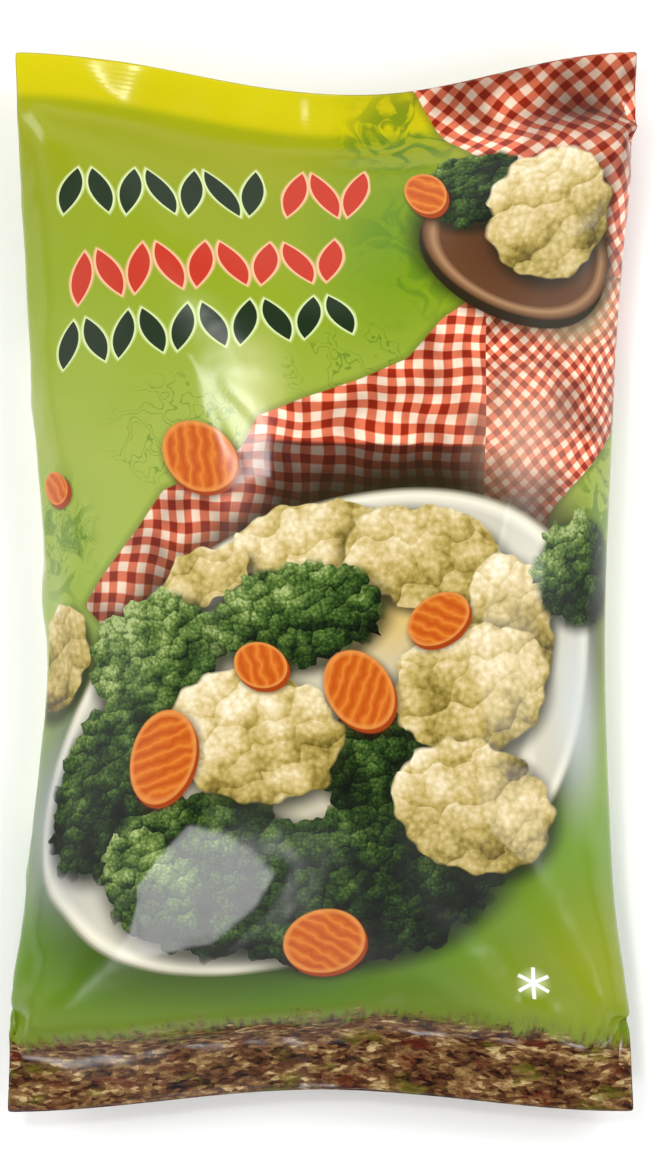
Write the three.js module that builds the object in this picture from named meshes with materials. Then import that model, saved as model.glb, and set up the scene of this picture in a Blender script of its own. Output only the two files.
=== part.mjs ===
// A one-kilogram pillow bag of frozen vegetables, lying on its back with the printed front up.
// Millimetres, +Z up. X runs across the front panel, Y from the bottom seal to the top seal,
// and the origin is the middle of the bag's footprint on the table.
// The bag is a tube of film, sealed flat across both ends. Filling pulls the sides in to a waist,
// the middle of each end in towards the filling, and the film into creases that start at the seals.
import * as THREE from "three";

// Driving dimensions of the flat film tube and of the filled bag
const SEAL_WIDTH = 209; // across the flat end seals, corner to corner
const BAG_LENGTH = 355; // between the corners of the two seals
const THICKNESS = 56; // table to the crown of the front panel
const SEAL_BAND = 14; // height of each welded band
const SEAL_THICKNESS = 1.2; // two layers of film with their crimp
const TOP_SEAL_HEIGHT = 20; // the middle of each seal's thickness above the table
const BOTTOM_SEAL_HEIGHT = 18;
const TOP_DIP = 14.3; // how far the top edge is pulled in, and where it is deepest
const TOP_DIP_X = 12;
const BOTTOM_DIP = 7.2;
const BOTTOM_DIP_X = 0;
const SIDE_FOLD_HEIGHT = 19; // height of the side fold above the table at the waist
const SHOULDER = 130; // how far from a seal the bag reaches its full thickness
const BACK_SINK = 13; // how far the filling would hang below the table, which flattens the back
const SEAM_WIDTH = 12; // the lengthwise fin seam, folded flat against the back
const SEAM_RELIEF = 0.8;
const SEAM_X = 0;

// The two side edges of the filled bag: how far along the bag, and how far from its middle line.
// The sides are widest at the flat seals, and narrowest where the bag is thickest.
const LEFT_EDGE = [
  [-177.5, 104.5], [-141, 103.5], [-107, 99.5], [-74, 96], [-23, 91.5],
  [11, 92.5], [51, 96], [105, 99.5], [177.5, 103.5],
];
const RIGHT_EDGE = [
  [-177.5, 104.5], [-141, 102.5], [-107, 98], [-74, 96], [-15, 94.5],
  [50, 97], [105, 100.5], [135, 103], [177.5, 104.5],
];

// How the section bulges from its side folds: 2 is an ellipse, more is flatter on top
const DOME_POWER = 2.4;
const BOWL_POWER = 3;
const FULLNESS_POWER = 0.75; // how quickly the bag fills out behind its seals, below 1 is sooner

// Relief of the filled film, which fades out towards the side folds by this power
const SIDE_FADE_POWER = 4;
const PUCKER_DEPTH = 1.7; // creases that fan out from the seals
const PUCKER_PITCH = 31;
const PUCKER_REACH = 34; // they fade behind a seal over about this length
const PUCKER_START = -2; // measured from the seal's inner line, below zero inside the seal
const PUCKER_FULL = 8;
const PUCKER_DRIFT = 9; // how far they wander from even steps, and over what distance
const PUCKER_DRIFT_PITCH = 145;
const BACK_PUCKER_SHARE = 0.7; // how deep they are on the back
const LUMP_HEIGHT = 2.2; // pieces of vegetable that press against the front
const LUMP_START = 10; // how far behind a seal the lumps begin, and where they have their height
const LUMP_FULL = 60;
const LUMP_PITCH = 46;
const LUMP_WAVES = [
  // direction of travel, share of the pitch, and phase
  [0.3, 1, 0.6],
  [1.4, 1.2, 1.9],
  [2.4, 0.85, 3.3],
  [2.9, 1.5, 0.2],
];
const SIDE_CREASES = [
  // side, y, depth, and half-height of each crease that runs in from a side
  { side: -1, y: -18, depth: 4.4, reach: 12 },
  { side: 1, y: -7, depth: 4.6, reach: 11 },
  { side: -1, y: 66, depth: 3.4, reach: 11 },
  { side: 1, y: 122, depth: 3.2, reach: 10 },
  { side: 1, y: -92, depth: 3.0, reach: 12 },
  { side: -1, y: -104, depth: 2.8, reach: 11 },
];
const CREASE_START = 0.1; // where a side crease begins and is deepest, as shares of the half-width
const CREASE_FULL = 0.95;
const CREASE_FADE = 25; // creases fade out over this length before a seal
const NOTCH_SHARE = 0.2; // how far a crease notches the outline, as a share of its depth

// Facets: steps across the bag, along it, and in each seal band
const ACROSS = 34;
const ALONG = 52;
const SEAL_STEPS = 2;
const SIDE_CROWDING = 0.98; // how much closer together the steps are at the sides, from 0 to 1
const END_CROWDING = 0.55; // and at the ends

const HALF_WIDTH = SEAL_WIDTH / 2;
const HALF_LENGTH = BAG_LENGTH / 2;

const clamp = (value, low, high) => Math.min(high, Math.max(low, value));

function smoothStep(from, to, value) {
  const t = clamp((value - from) / (to - from), 0, 1);
  return t * t * (3 - 2 * t);
}

const bell = (distance, reach) => Math.exp(-((distance / reach) ** 2));

const sideFade = (across) => 1 - Math.abs(across) ** SIDE_FADE_POWER;

// The y of a place given as a share of the bag's length, before the ends are pulled in
const placeAlong = (share) => (share - 0.5) * BAG_LENGTH;

// Distance from the nearer seal's inner line, below zero inside the seal itself
const pastSeal = (y) => HALF_LENGTH - SEAL_BAND - Math.abs(y);

// A crease's share at a point near its side, fading towards the middle of the bag
function creaseShare(crease, across, y) {
  const inwards = smoothStep(CREASE_START, CREASE_FULL, across * crease.side);
  return inwards * bell(y - crease.y, crease.reach);
}

// The smooth curve through a few points, as a height at one place along it
function curveThrough(points, at) {
  const last = points.length - 1;
  const slope = (k) => {
    const before = points[Math.max(0, k - 1)];
    const after = points[Math.min(last, k + 1)];
    return (after[1] - before[1]) / (after[0] - before[0]);
  };
  const next = clamp(points.findIndex((point) => point[0] >= at), 1, last);
  const [fromX, fromY] = points[next - 1];
  const [toX, toY] = points[next];
  const step = toX - fromX;
  const t = clamp((at - fromX) / step, 0, 1);
  const start = (1 + 2 * t) * (1 - t) ** 2 * fromY + t * (1 - t) ** 2 * step * slope(next - 1);
  const end = t * t * (3 - 2 * t) * toY + t * t * (t - 1) * step * slope(next);
  return start + end;
}

// Half-width on one side, notched where a crease runs in
function halfWidth(side, y) {
  let notch = 0;
  for (const crease of SIDE_CREASES) {
    if (crease.side === side) notch += NOTCH_SHARE * crease.depth * bell(y - crease.y, crease.reach);
  }
  return curveThrough(side < 0 ? LEFT_EDGE : RIGHT_EDGE, y) - notch;
}

// The middle of each end is pulled in, most at the edge and not at all at the waist
function pulledIn(x, y) {
  const dip = y > 0 ? TOP_DIP : BOTTOM_DIP;
  const deepest = y > 0 ? TOP_DIP_X : BOTTOM_DIP_X;
  const reach = HALF_WIDTH + (x < deepest ? deepest : -deepest);
  const arc = (1 + Math.cos(Math.PI * clamp((x - deepest) / reach, -1, 1))) / 2;
  return -Math.sign(y) * dip * arc * (Math.abs(y) / HALF_LENGTH) ** 2;
}

// Height of the side folds, and of the welded bands at the ends
function foldHeight(y) {
  const seal = y > 0 ? TOP_SEAL_HEIGHT : BOTTOM_SEAL_HEIGHT;
  return seal + (SIDE_FOLD_HEIGHT - seal) * smoothStep(0, SHOULDER, pastSeal(y));
}

// How full the bag is at a distance from its seals, from 0 to 1
function fullness(y) {
  const share = clamp(pastSeal(y) / SHOULDER, 0, 1);
  return Math.sin((Math.PI / 2) * share) ** FULLNESS_POWER;
}

// The fan of creases behind each seal, one wave with uneven steps
function puckers(across, y) {
  const x = across * HALF_WIDTH;
  const drift = PUCKER_DRIFT * Math.sin((2 * Math.PI * x) / PUCKER_DRIFT_PITCH);
  const wave = Math.cos((2 * Math.PI * (x + drift)) / PUCKER_PITCH + Math.sign(y));
  const distance = pastSeal(y);
  const start = smoothStep(PUCKER_START, PUCKER_FULL, distance);
  return PUCKER_DEPTH * wave * start * Math.exp(-Math.max(0, distance) / PUCKER_REACH);
}

// Low uneven bumps over the filled part of the front
function lumps(across, y) {
  const x = across * HALF_WIDTH;
  let field = 0;
  for (const [turn, pitch, start] of LUMP_WAVES) {
    const along = x * Math.cos(turn) + y * Math.sin(turn);
    field += Math.sin((2 * Math.PI * along) / (pitch * LUMP_PITCH) + start) / LUMP_WAVES.length;
  }
  return LUMP_HEIGHT * field * smoothStep(LUMP_START, LUMP_FULL, pastSeal(y));
}

// How far the creases from both sides press the front in
function creaseDepth(across, y) {
  let depth = 0;
  for (const crease of SIDE_CREASES) depth += crease.depth * creaseShare(crease, across, y);
  return depth * smoothStep(0, CREASE_FADE, pastSeal(y));
}

// Height of the front film
function frontHeight(across, y) {
  const fold = foldHeight(y) + SEAL_THICKNESS / 2;
  const dome = Math.sqrt(1 - Math.abs(across) ** DOME_POWER);
  const crown = THICKNESS - SIDE_FOLD_HEIGHT - SEAL_THICKNESS / 2 - LUMP_HEIGHT;
  const relief = puckers(across, y) + lumps(across, y) - creaseDepth(across, y) * dome;
  return fold + Math.max(0, crown * fullness(y) * dome + relief * sideFade(across));
}

// Height of the back film, pressed flat where it meets the table
function backHeight(across, y) {
  const fold = foldHeight(y) - SEAL_THICKNESS / 2;
  const bowl = Math.sqrt(1 - Math.abs(across) ** BOWL_POWER);
  const depth = (SIDE_FOLD_HEIGHT + BACK_SINK) * fullness(y) * bowl;
  const seam = Math.abs(across * HALF_WIDTH - SEAM_X) < SEAM_WIDTH / 2 ? SEAM_RELIEF : 0;
  const relief = BACK_PUCKER_SHARE * puckers(across, y) * sideFade(across);
  return Math.max(0, fold - Math.max(0, depth + relief) - seam);
}

// Steps across the bag, closer together at the sides, where the film turns most
function acrossAt(i) {
  const turn = (Math.PI / 2) * SIDE_CROWDING;
  return Math.sin(turn * ((2 * i) / ACROSS - 1)) / Math.sin(turn);
}

// Steps along the bag, closer together at the ends, with one on each seal's inner line
function alongAt(j) {
  const sealShare = SEAL_BAND / BAG_LENGTH;
  if (j <= SEAL_STEPS) return (sealShare * j) / SEAL_STEPS;
  if (j >= ALONG - SEAL_STEPS) return 1 - (sealShare * (ALONG - j)) / SEAL_STEPS;
  const t = (j - SEAL_STEPS) / (ALONG - 2 * SEAL_STEPS);
  const eased = t - (END_CROWDING * Math.sin(2 * Math.PI * t)) / (2 * Math.PI);
  return sealShare + (1 - 2 * sealShare) * eased;
}

// One point of the front or back film, by its step across and its step along
function filmPoint(i, j, height) {
  const across = acrossAt(i);
  const y = placeAlong(alongAt(j));
  const x = across * halfWidth(across < 0 ? -1 : 1, y);
  return [x, y + pulledIn(x, y), height(across, y)];
}

// One closed solid: the front and back films, joined by a narrow wall all round the rim
function bagGeometry() {
  const positions = [];
  const index = [];
  const columns = ACROSS + 1;
  const rows = ALONG + 1;
  for (const height of [frontHeight, backHeight]) {
    for (let j = 0; j < rows; j += 1) {
      for (let i = 0; i < columns; i += 1) positions.push(...filmPoint(i, j, height));
    }
  }
  const front = (i, j) => j * columns + i;
  const back = (i, j) => columns * rows + front(i, j);
  const quad = (a, b, c, d) => index.push(a, b, c, a, c, d);
  for (let j = 0; j < ALONG; j += 1) {
    for (let i = 0; i < ACROSS; i += 1) {
      quad(front(i, j), front(i + 1, j), front(i + 1, j + 1), front(i, j + 1));
      quad(back(i, j), back(i, j + 1), back(i + 1, j + 1), back(i + 1, j));
    }
  }
  for (let i = 0; i < ACROSS; i += 1) {
    quad(back(i, 0), back(i + 1, 0), front(i + 1, 0), front(i, 0));
    quad(front(i, ALONG), front(i + 1, ALONG), back(i + 1, ALONG), back(i, ALONG));
  }
  for (let j = 0; j < ALONG; j += 1) {
    quad(front(0, j), front(0, j + 1), back(0, j + 1), back(0, j));
    quad(back(ACROSS, j), back(ACROSS, j + 1), front(ACROSS, j + 1), front(ACROSS, j));
  }
  const geometry = new THREE.BufferGeometry();
  geometry.setAttribute("position", new THREE.Float32BufferAttribute(positions, 3));
  geometry.setIndex(index);
  geometry.computeVertexNormals();
  return geometry;
}

const printedFilm = new THREE.MeshStandardMaterial({
  color: 0xa5b31d,
  roughness: 0.35,
  metalness: 0,
});

const bag = new THREE.Mesh(bagGeometry(), printedFilm);
bag.name = "bag";

const root = new THREE.Group();
root.add(bag);

export default root;
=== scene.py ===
# %% [markdown]
# # A filled pillow bag of frozen vegetables
# The real pack starts as one sheet of printed film. A machine wraps it into a tube, welds a fin
# seam down the back and a flat band across each end, and drops a kilogram of loose, hard pieces in
# between. The bag lies on its back with the printed front up, and the camera looks down on it.
# This lesson fills a flat tube with a pressure simulation, fits it to the measured outline, adds
# the seam and the stage, and then builds the print as a material. Lengths are in millimetres
# until the last step, where the film turns to metres.

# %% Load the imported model
import math

import bmesh
import bpy
import numpy as np
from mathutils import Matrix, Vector, kdtree, noise


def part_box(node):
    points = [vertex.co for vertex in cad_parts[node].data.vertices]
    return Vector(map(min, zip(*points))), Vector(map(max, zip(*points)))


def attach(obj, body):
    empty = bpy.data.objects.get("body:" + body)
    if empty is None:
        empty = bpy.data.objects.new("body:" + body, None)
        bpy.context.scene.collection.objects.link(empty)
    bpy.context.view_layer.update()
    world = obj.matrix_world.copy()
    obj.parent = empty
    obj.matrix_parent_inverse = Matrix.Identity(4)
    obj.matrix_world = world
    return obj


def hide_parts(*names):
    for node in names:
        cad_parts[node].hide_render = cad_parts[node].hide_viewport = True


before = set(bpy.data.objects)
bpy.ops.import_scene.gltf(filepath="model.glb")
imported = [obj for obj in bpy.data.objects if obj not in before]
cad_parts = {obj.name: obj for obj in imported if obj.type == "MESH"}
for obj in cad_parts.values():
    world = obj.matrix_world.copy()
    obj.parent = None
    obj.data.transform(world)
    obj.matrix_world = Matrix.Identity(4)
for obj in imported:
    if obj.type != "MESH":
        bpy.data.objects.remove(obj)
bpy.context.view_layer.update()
bag_low, bag_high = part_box("bag")
MM = 0.001
print("CAD bag, mm:", [round(c / MM, 1) for c in bag_high - bag_low])

# %% [markdown]
# ## The sizes that drive the film
# A pillow bag is known by its flat width, its length and how thick the filling makes it. The
# outline of the filled bag comes next: where the film bulges up, the sides are pulled in, so the
# bag is widest at its flat seals and has a waist near the middle. The two edges and the two ends
# are given as a few measured points each, and a smooth curve runs through them.

# %% Driving sizes and the outline
FLAT_WIDTH = 209.0  # the tube pressed flat, side to side
FLAT_LENGTH = 370.0  # the tube pressed flat, end to end
SEAL_BAND = 15.0  # height of each welded band
BAG_LENGTH = (bag_high.y - bag_low.y) / MM
THICKNESS = (bag_high.z - bag_low.z) / MM
SEAL_HEIGHT = {1: 20.0, -1: 18.0}  # height of the top and bottom bands above the table
SHOULDER = 130.0  # how far from a seal the bag reaches its full thickness
SHOULDER_POWER = 0.75  # below 1 the shoulder is fuller than a plain sine
# Each pair is a place along the bag and the distance of that edge from the middle line
LEFT_EDGE = [(-177, 106), (-141, 104), (-107, 99.5), (-74, 96), (-23, 91.2), (11, 92.5),
             (51, 96), (105, 99.3), (177, 103.5)]
RIGHT_EDGE = [(-177, 105), (-141, 102.6), (-107, 98), (-74, 96), (-15, 94.6), (50, 97),
              (105, 100.3), (135, 103), (177, 106)]
# How far the middle of each end is pulled in, and where its deepest point is
END_DIP = {1: (14.3, 12.0), -1: (7.2, 0.0)}


def curve_through(points, at):
    """The height at one place of the smooth curve through a few points."""
    xs = [p[0] for p in points]
    ys = [p[1] for p in points]
    slopes = np.gradient(ys, xs)
    at = np.clip(at, xs[0], xs[-1])
    k = np.clip(np.searchsorted(xs, at) - 1, 0, len(xs) - 2)
    x, y, slopes = np.array(xs, float), np.array(ys, float), np.array(slopes)
    step = x[k + 1] - x[k]
    t = (at - x[k]) / step
    start = (1 + 2 * t) * (1 - t) ** 2 * y[k] + t * (1 - t) ** 2 * step * slopes[k]
    end = t * t * (3 - 2 * t) * y[k + 1] + t * t * (t - 1) * step * slopes[k + 1]
    return start + end


def smooth_step(low, high, value):
    """Goes from 0 to 1 between two values, level at both."""
    t = np.clip((value - low) / (high - low), 0, 1)
    return t * t * (3 - 2 * t)


def end_line(side, x):
    """The y of the top (1) or bottom (-1) edge of the bag, which dips towards the filling."""
    dip, deepest = END_DIP[side]
    reach = np.where(x < deepest, FLAT_WIDTH / 2 + deepest, FLAT_WIDTH / 2 - deepest)
    arc = (1 + np.cos(np.pi * np.clip((x - deepest) / reach, -1, 1))) / 2
    return side * (BAG_LENGTH / 2 - dip * arc)


def crown(y):
    """The height of the front panel's ridge at a place along the bag."""
    past_seal = np.clip((BAG_LENGTH / 2 - SEAL_BAND - abs(y)) / SHOULDER, 0, 1)
    seal = np.where(y > 0, SEAL_HEIGHT[1], SEAL_HEIGHT[-1])
    return seal + (THICKNESS - seal) * np.sin(np.pi / 2 * past_seal) ** SHOULDER_POWER


# %% [markdown]
# ## The flat tube
# Film can't stretch, so a bag only looks right if it starts as the flat tube it was made from: the
# folds then come where real ones do. Two grids make the front and the back. They share their rim,
# and short sewing edges hold the layers together inside the two seal bands. Both grids keep their
# flat coordinates as a UV map in millimetres, which the print is drawn on later. The simulation
# works ten times too large, because the cloth settings are made for garments.

# %% Make the flat tube
SIM_SCALE = 0.01  # one millimetre in the simulation's enlarged space
GRID_STEP = 3.5
BACK_OFFSET = 1000.0  # the back's flat coordinates start this far to the side
START_LIFT = 8.0  # the layers start a little apart, so that the pressure has something to push
SEAL_GAP = 0.4
NEAR = 0.5  # places closer than this to a line of the tube count as on it
ACROSS = round(FLAT_WIDTH / GRID_STEP)
ALONG = round(FLAT_LENGTH / GRID_STEP)


def film_layer(bm, flat, side):
    """One layer of the tube as a grid: the front (1) or the back (-1)."""
    made = bmesh.ops.create_grid(bm, x_segments=ACROSS, y_segments=ALONG, size=0.5)["verts"]
    bmesh.ops.scale(bm, vec=(FLAT_WIDTH, FLAT_LENGTH, 1), verts=made)
    faces = list({face for vert in made for face in vert.link_faces})
    if side < 0:
        bmesh.ops.reverse_faces(bm, faces=faces)
    for face in faces:
        for loop in face.loops:
            offset = 0 if side > 0 else BACK_OFFSET
            loop[flat].uv = (loop.vert.co.x + offset, loop.vert.co.y)
    for vert in made:
        across = 1 - (2 * vert.co.x / FLAT_WIDTH) ** 2
        inside = (FLAT_LENGTH / 2 - SEAL_BAND - abs(vert.co.y)) / (FLAT_LENGTH / 2 - SEAL_BAND)
        lift = START_LIFT * math.sqrt(max(0, across)) * min(1, 4 * max(0, inside))
        vert.co.z = side * max(lift, SEAL_GAP if across > 0 else 0)
    return made


def on_rim(vert):
    """True at the edge of a layer, where front and back are one."""
    at_side = abs(abs(vert.co.x) - FLAT_WIDTH / 2) < 0.001
    return at_side or abs(abs(vert.co.y) - FLAT_LENGTH / 2) < 0.001


def in_seal(y):
    """True in the welded band at either end."""
    return abs(y) > FLAT_LENGTH / 2 - SEAL_BAND - NEAR


def flat_tube():
    """The tube's mesh: two layers welded at the rim and sewn together in the seals."""
    bm = bmesh.new()
    flat = bm.loops.layers.uv.new("flat")
    front = film_layer(bm, flat, 1)
    back = film_layer(bm, flat, -1)
    below = {(round(v.co.x, 2), round(v.co.y, 2)): v for v in back}
    for vert in front:
        if in_seal(vert.co.y) and not on_rim(vert):
            bm.edges.new((vert, below[(round(vert.co.x, 2), round(vert.co.y, 2))]))
    rim = [v for v in bm.verts if on_rim(v)]
    for vert in rim:
        vert.co.z = 0
    bmesh.ops.remove_doubles(bm, verts=rim, dist=0.01)
    mesh = bpy.data.meshes.new("film")
    bm.to_mesh(mesh)
    bm.free()
    return mesh


film_mesh = flat_tube()
flat_place = np.array([v.co[:] for v in film_mesh.vertices])
print("flat tube:", len(film_mesh.vertices), "vertices,", len(film_mesh.polygons), "faces")

# %% [markdown]
# ## Fill the bag
# Pressure pushes the film out until the tube holds about two and a quarter litres. A little
# gravity and a weight of filling flatten the back against the table. The push is uneven, because
# frozen pieces press on the film in lumps, and the welded bands are stiffer than the single film.
# Fifty frames bring it to rest, and the shape is then kept as a plain mesh.

# %% Simulate the filling
FILLED_VOLUME = 2.25  # in the enlarged space, where it is also the volume in litres
RAMP = ((1, 0.12), (15, 0.6), (30, 1.0))  # frame, and share of the volume by then
FRAMES = 50
TABLE_BELOW = 0.3
LUMP_SHARE = 0.9
UNEVEN = 0.01


def weigh(film, name, share_at):
    """A vertex group with a share worked out for each vertex."""
    group = film.vertex_groups.new(name=name)
    for vert in film.data.vertices:
        group.add([vert.index], share_at(vert.co), "REPLACE")


def push_at(place):
    """How much of the pressure reaches a place: none in the seals, and uneven elsewhere."""
    if in_seal(place.y / SIM_SCALE):
        return 0.0
    layer = Vector((3.1, 9.2, 0.4 if place.z > 0 else 5.7))
    return min(1.0, max(0.0, 1 - LUMP_SHARE * (0.5 - noise.noise(place * 2.2 + layer))))


def set_cloth(film):
    """The film as cloth that hardly stretches, with the filling's pressure inside."""
    cloth = film.modifiers.new("filling", "CLOTH")
    film_is = cloth.settings
    film_is.quality = 8
    film_is.mass = 0.05
    film_is.tension_stiffness = film_is.compression_stiffness = 60
    film_is.shear_stiffness = 30
    film_is.bending_stiffness = 0.6
    film_is.vertex_group_bending = "seal"
    film_is.bending_stiffness_max = 2.0
    film_is.tension_damping = film_is.compression_damping = film_is.shear_damping = 5
    film_is.bending_damping = 0.5
    film_is.air_damping = 2
    film_is.use_pressure = True
    film_is.uniform_pressure_force = 0
    film_is.pressure_factor = 20
    film_is.vertex_group_pressure = "push"
    film_is.use_pressure_volume = True
    for at, share in RAMP:
        film_is.target_volume = FILLED_VOLUME * share
        film_is.keyframe_insert("target_volume", frame=at)
    film_is.fluid_density = 0.5
    film_is.use_sewing_springs = True
    film_is.effector_weights.gravity = 0.3
    cloth.collision_settings.distance_min = 0.005
    cloth.collision_settings.friction = 5
    cloth.point_cache.frame_end = FRAMES + 5


def simulated(mesh):
    """Runs the filling and returns where every vertex came to rest, in millimetres."""
    film = bpy.data.objects.new("filling_film", mesh)
    bpy.context.scene.collection.objects.link(film)
    for vert in mesh.vertices:
        vert.co *= SIM_SCALE
        wobble = noise.noise_vector(vert.co * 2.3 + Vector((7.1, 3.3, 1.7)))
        vert.co += wobble * UNEVEN
    weigh(film, "push", push_at)
    weigh(film, "seal", lambda place: 1.0 if in_seal(place.y / SIM_SCALE) else 0.0)
    set_cloth(film)
    bpy.ops.mesh.primitive_plane_add(size=20, location=(0, 0, -TABLE_BELOW))
    table = bpy.context.object
    table.modifiers.new("table", "COLLISION")
    table.collision.thickness_outer = 0.01
    for at in range(1, FRAMES + 1):
        bpy.context.scene.frame_set(at)
    shape = film.evaluated_get(bpy.context.evaluated_depsgraph_get()).to_mesh()
    filled = np.array([v.co[:] for v in shape.vertices]) / SIM_SCALE
    filled[:, 2] -= filled[:, 2].min()
    bpy.data.objects.remove(film)
    bpy.data.objects.remove(table)
    bpy.context.scene.frame_set(1)
    return filled


filled_place = simulated(film_mesh.copy())
extent = filled_place.max(0) - filled_place.min(0)
print("filled bag, mm:", extent.round(1))

# %% [markdown]
# ## Fit the filled bag to its outline
# A simulation gives believable folds, but not the folds of this very bag. So the broad shape is
# fitted and the small folds are left alone: each row of the film is widened or narrowed to the
# measured edges, its height is eased to the measured thickness, and the ends are bent to their
# dips. Every factor is smoothed along the bag before it is used, so that no crease is ironed out.

# %% Fit rows, heights and ends
ROW_BLUR = 9  # rows that each factor is averaged over
CALM_BLUR = 9  # steps of the grid that the front's folds are averaged over
CALM_SHARE = 0.35  # how much of a fold that takes away, and how much near the top seal
CALM_TOP_SHARE = 0.95
CALM_FROM, CALM_TO = 60, 110  # between these heights the one share turns into the other
CALM_EDGE = 22  # and both fade out over this distance from the edges


def blurred(values, reach):
    """A running average that keeps the ends."""
    padded = np.pad(values, reach, mode="edge")
    window = np.hanning(2 * reach + 3)[1:-1]
    return np.convolve(padded, window / window.sum(), mode="valid")


def fit_length(place):
    """Stretches the bag along Y until its corners are as far apart as on the real one."""
    ends = abs(flat_place[:, 1]) > FLAT_LENGTH / 2 - NEAR
    corners = ends & (abs(flat_place[:, 0]) > FLAT_WIDTH / 2 - NEAR)
    top = place[corners & (flat_place[:, 1] > 0), 1].mean()
    bottom = place[corners & (flat_place[:, 1] < 0), 1].mean()
    place[:, 1] = (place[:, 1] - (top + bottom) / 2) * BAG_LENGTH / (top - bottom)


def fit_rows(place):
    """Moves every row of the film out to the measured edges and up to the measured crown."""
    rows = np.rint((flat_place[:, 1] / FLAT_LENGTH + 0.5) * ALONG).astype(int)
    along, left, right, top = (np.zeros(ALONG + 1) for _ in range(4))
    for row in range(ALONG + 1):
        x, y, z = place[rows == row].T
        along[row] = y.mean()
        left[row], right[row], top[row] = -x.min(), x.max(), z.max()
    wider_left = blurred(curve_through(LEFT_EDGE, along) / left, ROW_BLUR)[rows]
    wider_right = blurred(curve_through(RIGHT_EDGE, along) / right, ROW_BLUR)[rows]
    higher = blurred(crown(along) / top, ROW_BLUR)[rows]
    place[:, 0] *= np.where(place[:, 0] < 0, wider_left, wider_right)
    place[:, 2] *= higher
    return wider_left, wider_right, higher


def fit_ends(place):
    """Bends the two ends to their measured dips, and the film behind them along with them."""
    for side in (1, -1):
        end = flat_place[:, 1] * side > FLAT_LENGTH / 2 - NEAR
        shape = np.polyfit(place[end, 0], place[end, 1], 4)
        missing = end_line(side, place[:, 0]) - np.polyval(shape, place[:, 0])
        share = np.clip(flat_place[:, 1] * side / (FLAT_LENGTH / 2), 0, 1) ** 2
        place[:, 1] += missing * share


def calm_front(place):
    """Takes some depth from the front's folds, most near the top, where the real bag is smooth."""
    front = np.flatnonzero(flat_place[:, 2] > 0)
    column = np.rint((flat_place[front, 0] / FLAT_WIDTH + 0.5) * ACROSS).astype(int)
    row = np.rint((flat_place[front, 1] / FLAT_LENGTH + 0.5) * ALONG).astype(int)
    u, v = flat_place[front, 0], flat_place[front, 1]
    flat_film = np.c_[u, v, np.zeros(len(front))]
    smooth = np.zeros((ALONG - 1, ACROSS - 1, 3))
    smooth[row - 1, column - 1] = place[front] - flat_film
    for _ in range(2):
        for axis in (0, 1):
            smooth = np.apply_along_axis(blurred, axis, smooth, CALM_BLUR)
    share = CALM_SHARE + (CALM_TOP_SHARE - CALM_SHARE) * smooth_step(CALM_FROM, CALM_TO, v)
    share *= smooth_step(0, CALM_EDGE, FLAT_WIDTH / 2 - abs(u))
    share *= smooth_step(0, CALM_EDGE, FLAT_LENGTH / 2 - abs(v))
    calmed = flat_film + smooth[row - 1, column - 1]
    place[front] += share[:, None] * (calmed - place[front])


fitted = filled_place.copy()
calm_front(fitted)
fit_length(fitted)
factors = fit_rows(fitted)
fit_ends(fitted)
print("row factors:", [(round(f.min(), 3), round(f.max(), 3)) for f in factors])

# %% Press the seal bands flat
BAND_HALF = 0.15  # half the thickness of the welded band
BAND_WAVE = 0.25  # share of the simulation's waves that the stiff band keeps
BAND_REACH = 24.0  # the film behind a band follows it over this length
SIDE_BLUR = 2  # rows that the second fit of the sides is averaged over


def press_seals(place):
    """Lays each welded band out flat, because two welded layers are too stiff to curl."""
    x, y, layer = flat_place.T
    band_x = x * np.where(x < 0, LEFT_EDGE[-1][1], RIGHT_EDGE[-1][1]) / (FLAT_WIDTH / 2)
    low_x = x * np.where(x < 0, LEFT_EDGE[0][1], RIGHT_EDGE[0][1]) / (FLAT_WIDTH / 2)
    for side in (1, -1):
        depth = FLAT_LENGTH / 2 - SEAL_BAND - y * side
        share = 1 - smooth_step(0, BAND_REACH, depth)
        share = np.where(depth < BAND_REACH, share, 0)
        at_x = band_x if side > 0 else low_x
        at_y = end_line(side, at_x) - side * (FLAT_LENGTH / 2 - y * side)
        seal = SEAL_HEIGHT[side]
        place[:, 0] += share ** 2 * (at_x - place[:, 0])
        place[:, 1] += share ** 2 * (at_y - place[:, 1])
        waved = seal + BAND_WAVE * (place[:, 2] - seal)
        place[:, 2] += share * (waved - place[:, 2])
    below = {(round(u, 2), round(v, 2)): k for k, (u, v, w) in enumerate(flat_place) if w < 0}
    for index, (u, v, w) in enumerate(flat_place):
        partner = below.get((round(u, 2), round(v, 2)))
        if w > 0 and partner is not None and in_seal(v):
            middle = (place[index] + place[partner]) / 2
            place[index] = middle + (0, 0, BAND_HALF)
            place[partner] = middle - (0, 0, BAND_HALF)


def fit_sides(place):
    """Brings the sides just behind the bands out to the measured edges once more."""
    rows = np.rint((flat_place[:, 1] / FLAT_LENGTH + 0.5) * ALONG).astype(int)
    at_side = abs(flat_place[:, 0]) > FLAT_WIDTH / 2 - NEAR
    for edge, side in ((LEFT_EDGE, -1), (RIGHT_EDGE, 1)):
        rim = at_side & (flat_place[:, 0] * side > 0)
        order = np.argsort(rows[rim])
        reach = abs(place[rim][order, 0])
        measured = curve_through(edge, place[rim][order, 1])
        factor = blurred(measured / reach, SIDE_BLUR)[rows]
        place[:, 0] *= np.where(place[:, 0] * side > 0, factor, 1)


press_seals(fitted)
fit_sides(fitted)
fitted[:, 2] = np.maximum(fitted[:, 2], 0)
print("fitted bag, mm:", (fitted.max(0) - fitted.min(0)).round(1))

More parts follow.
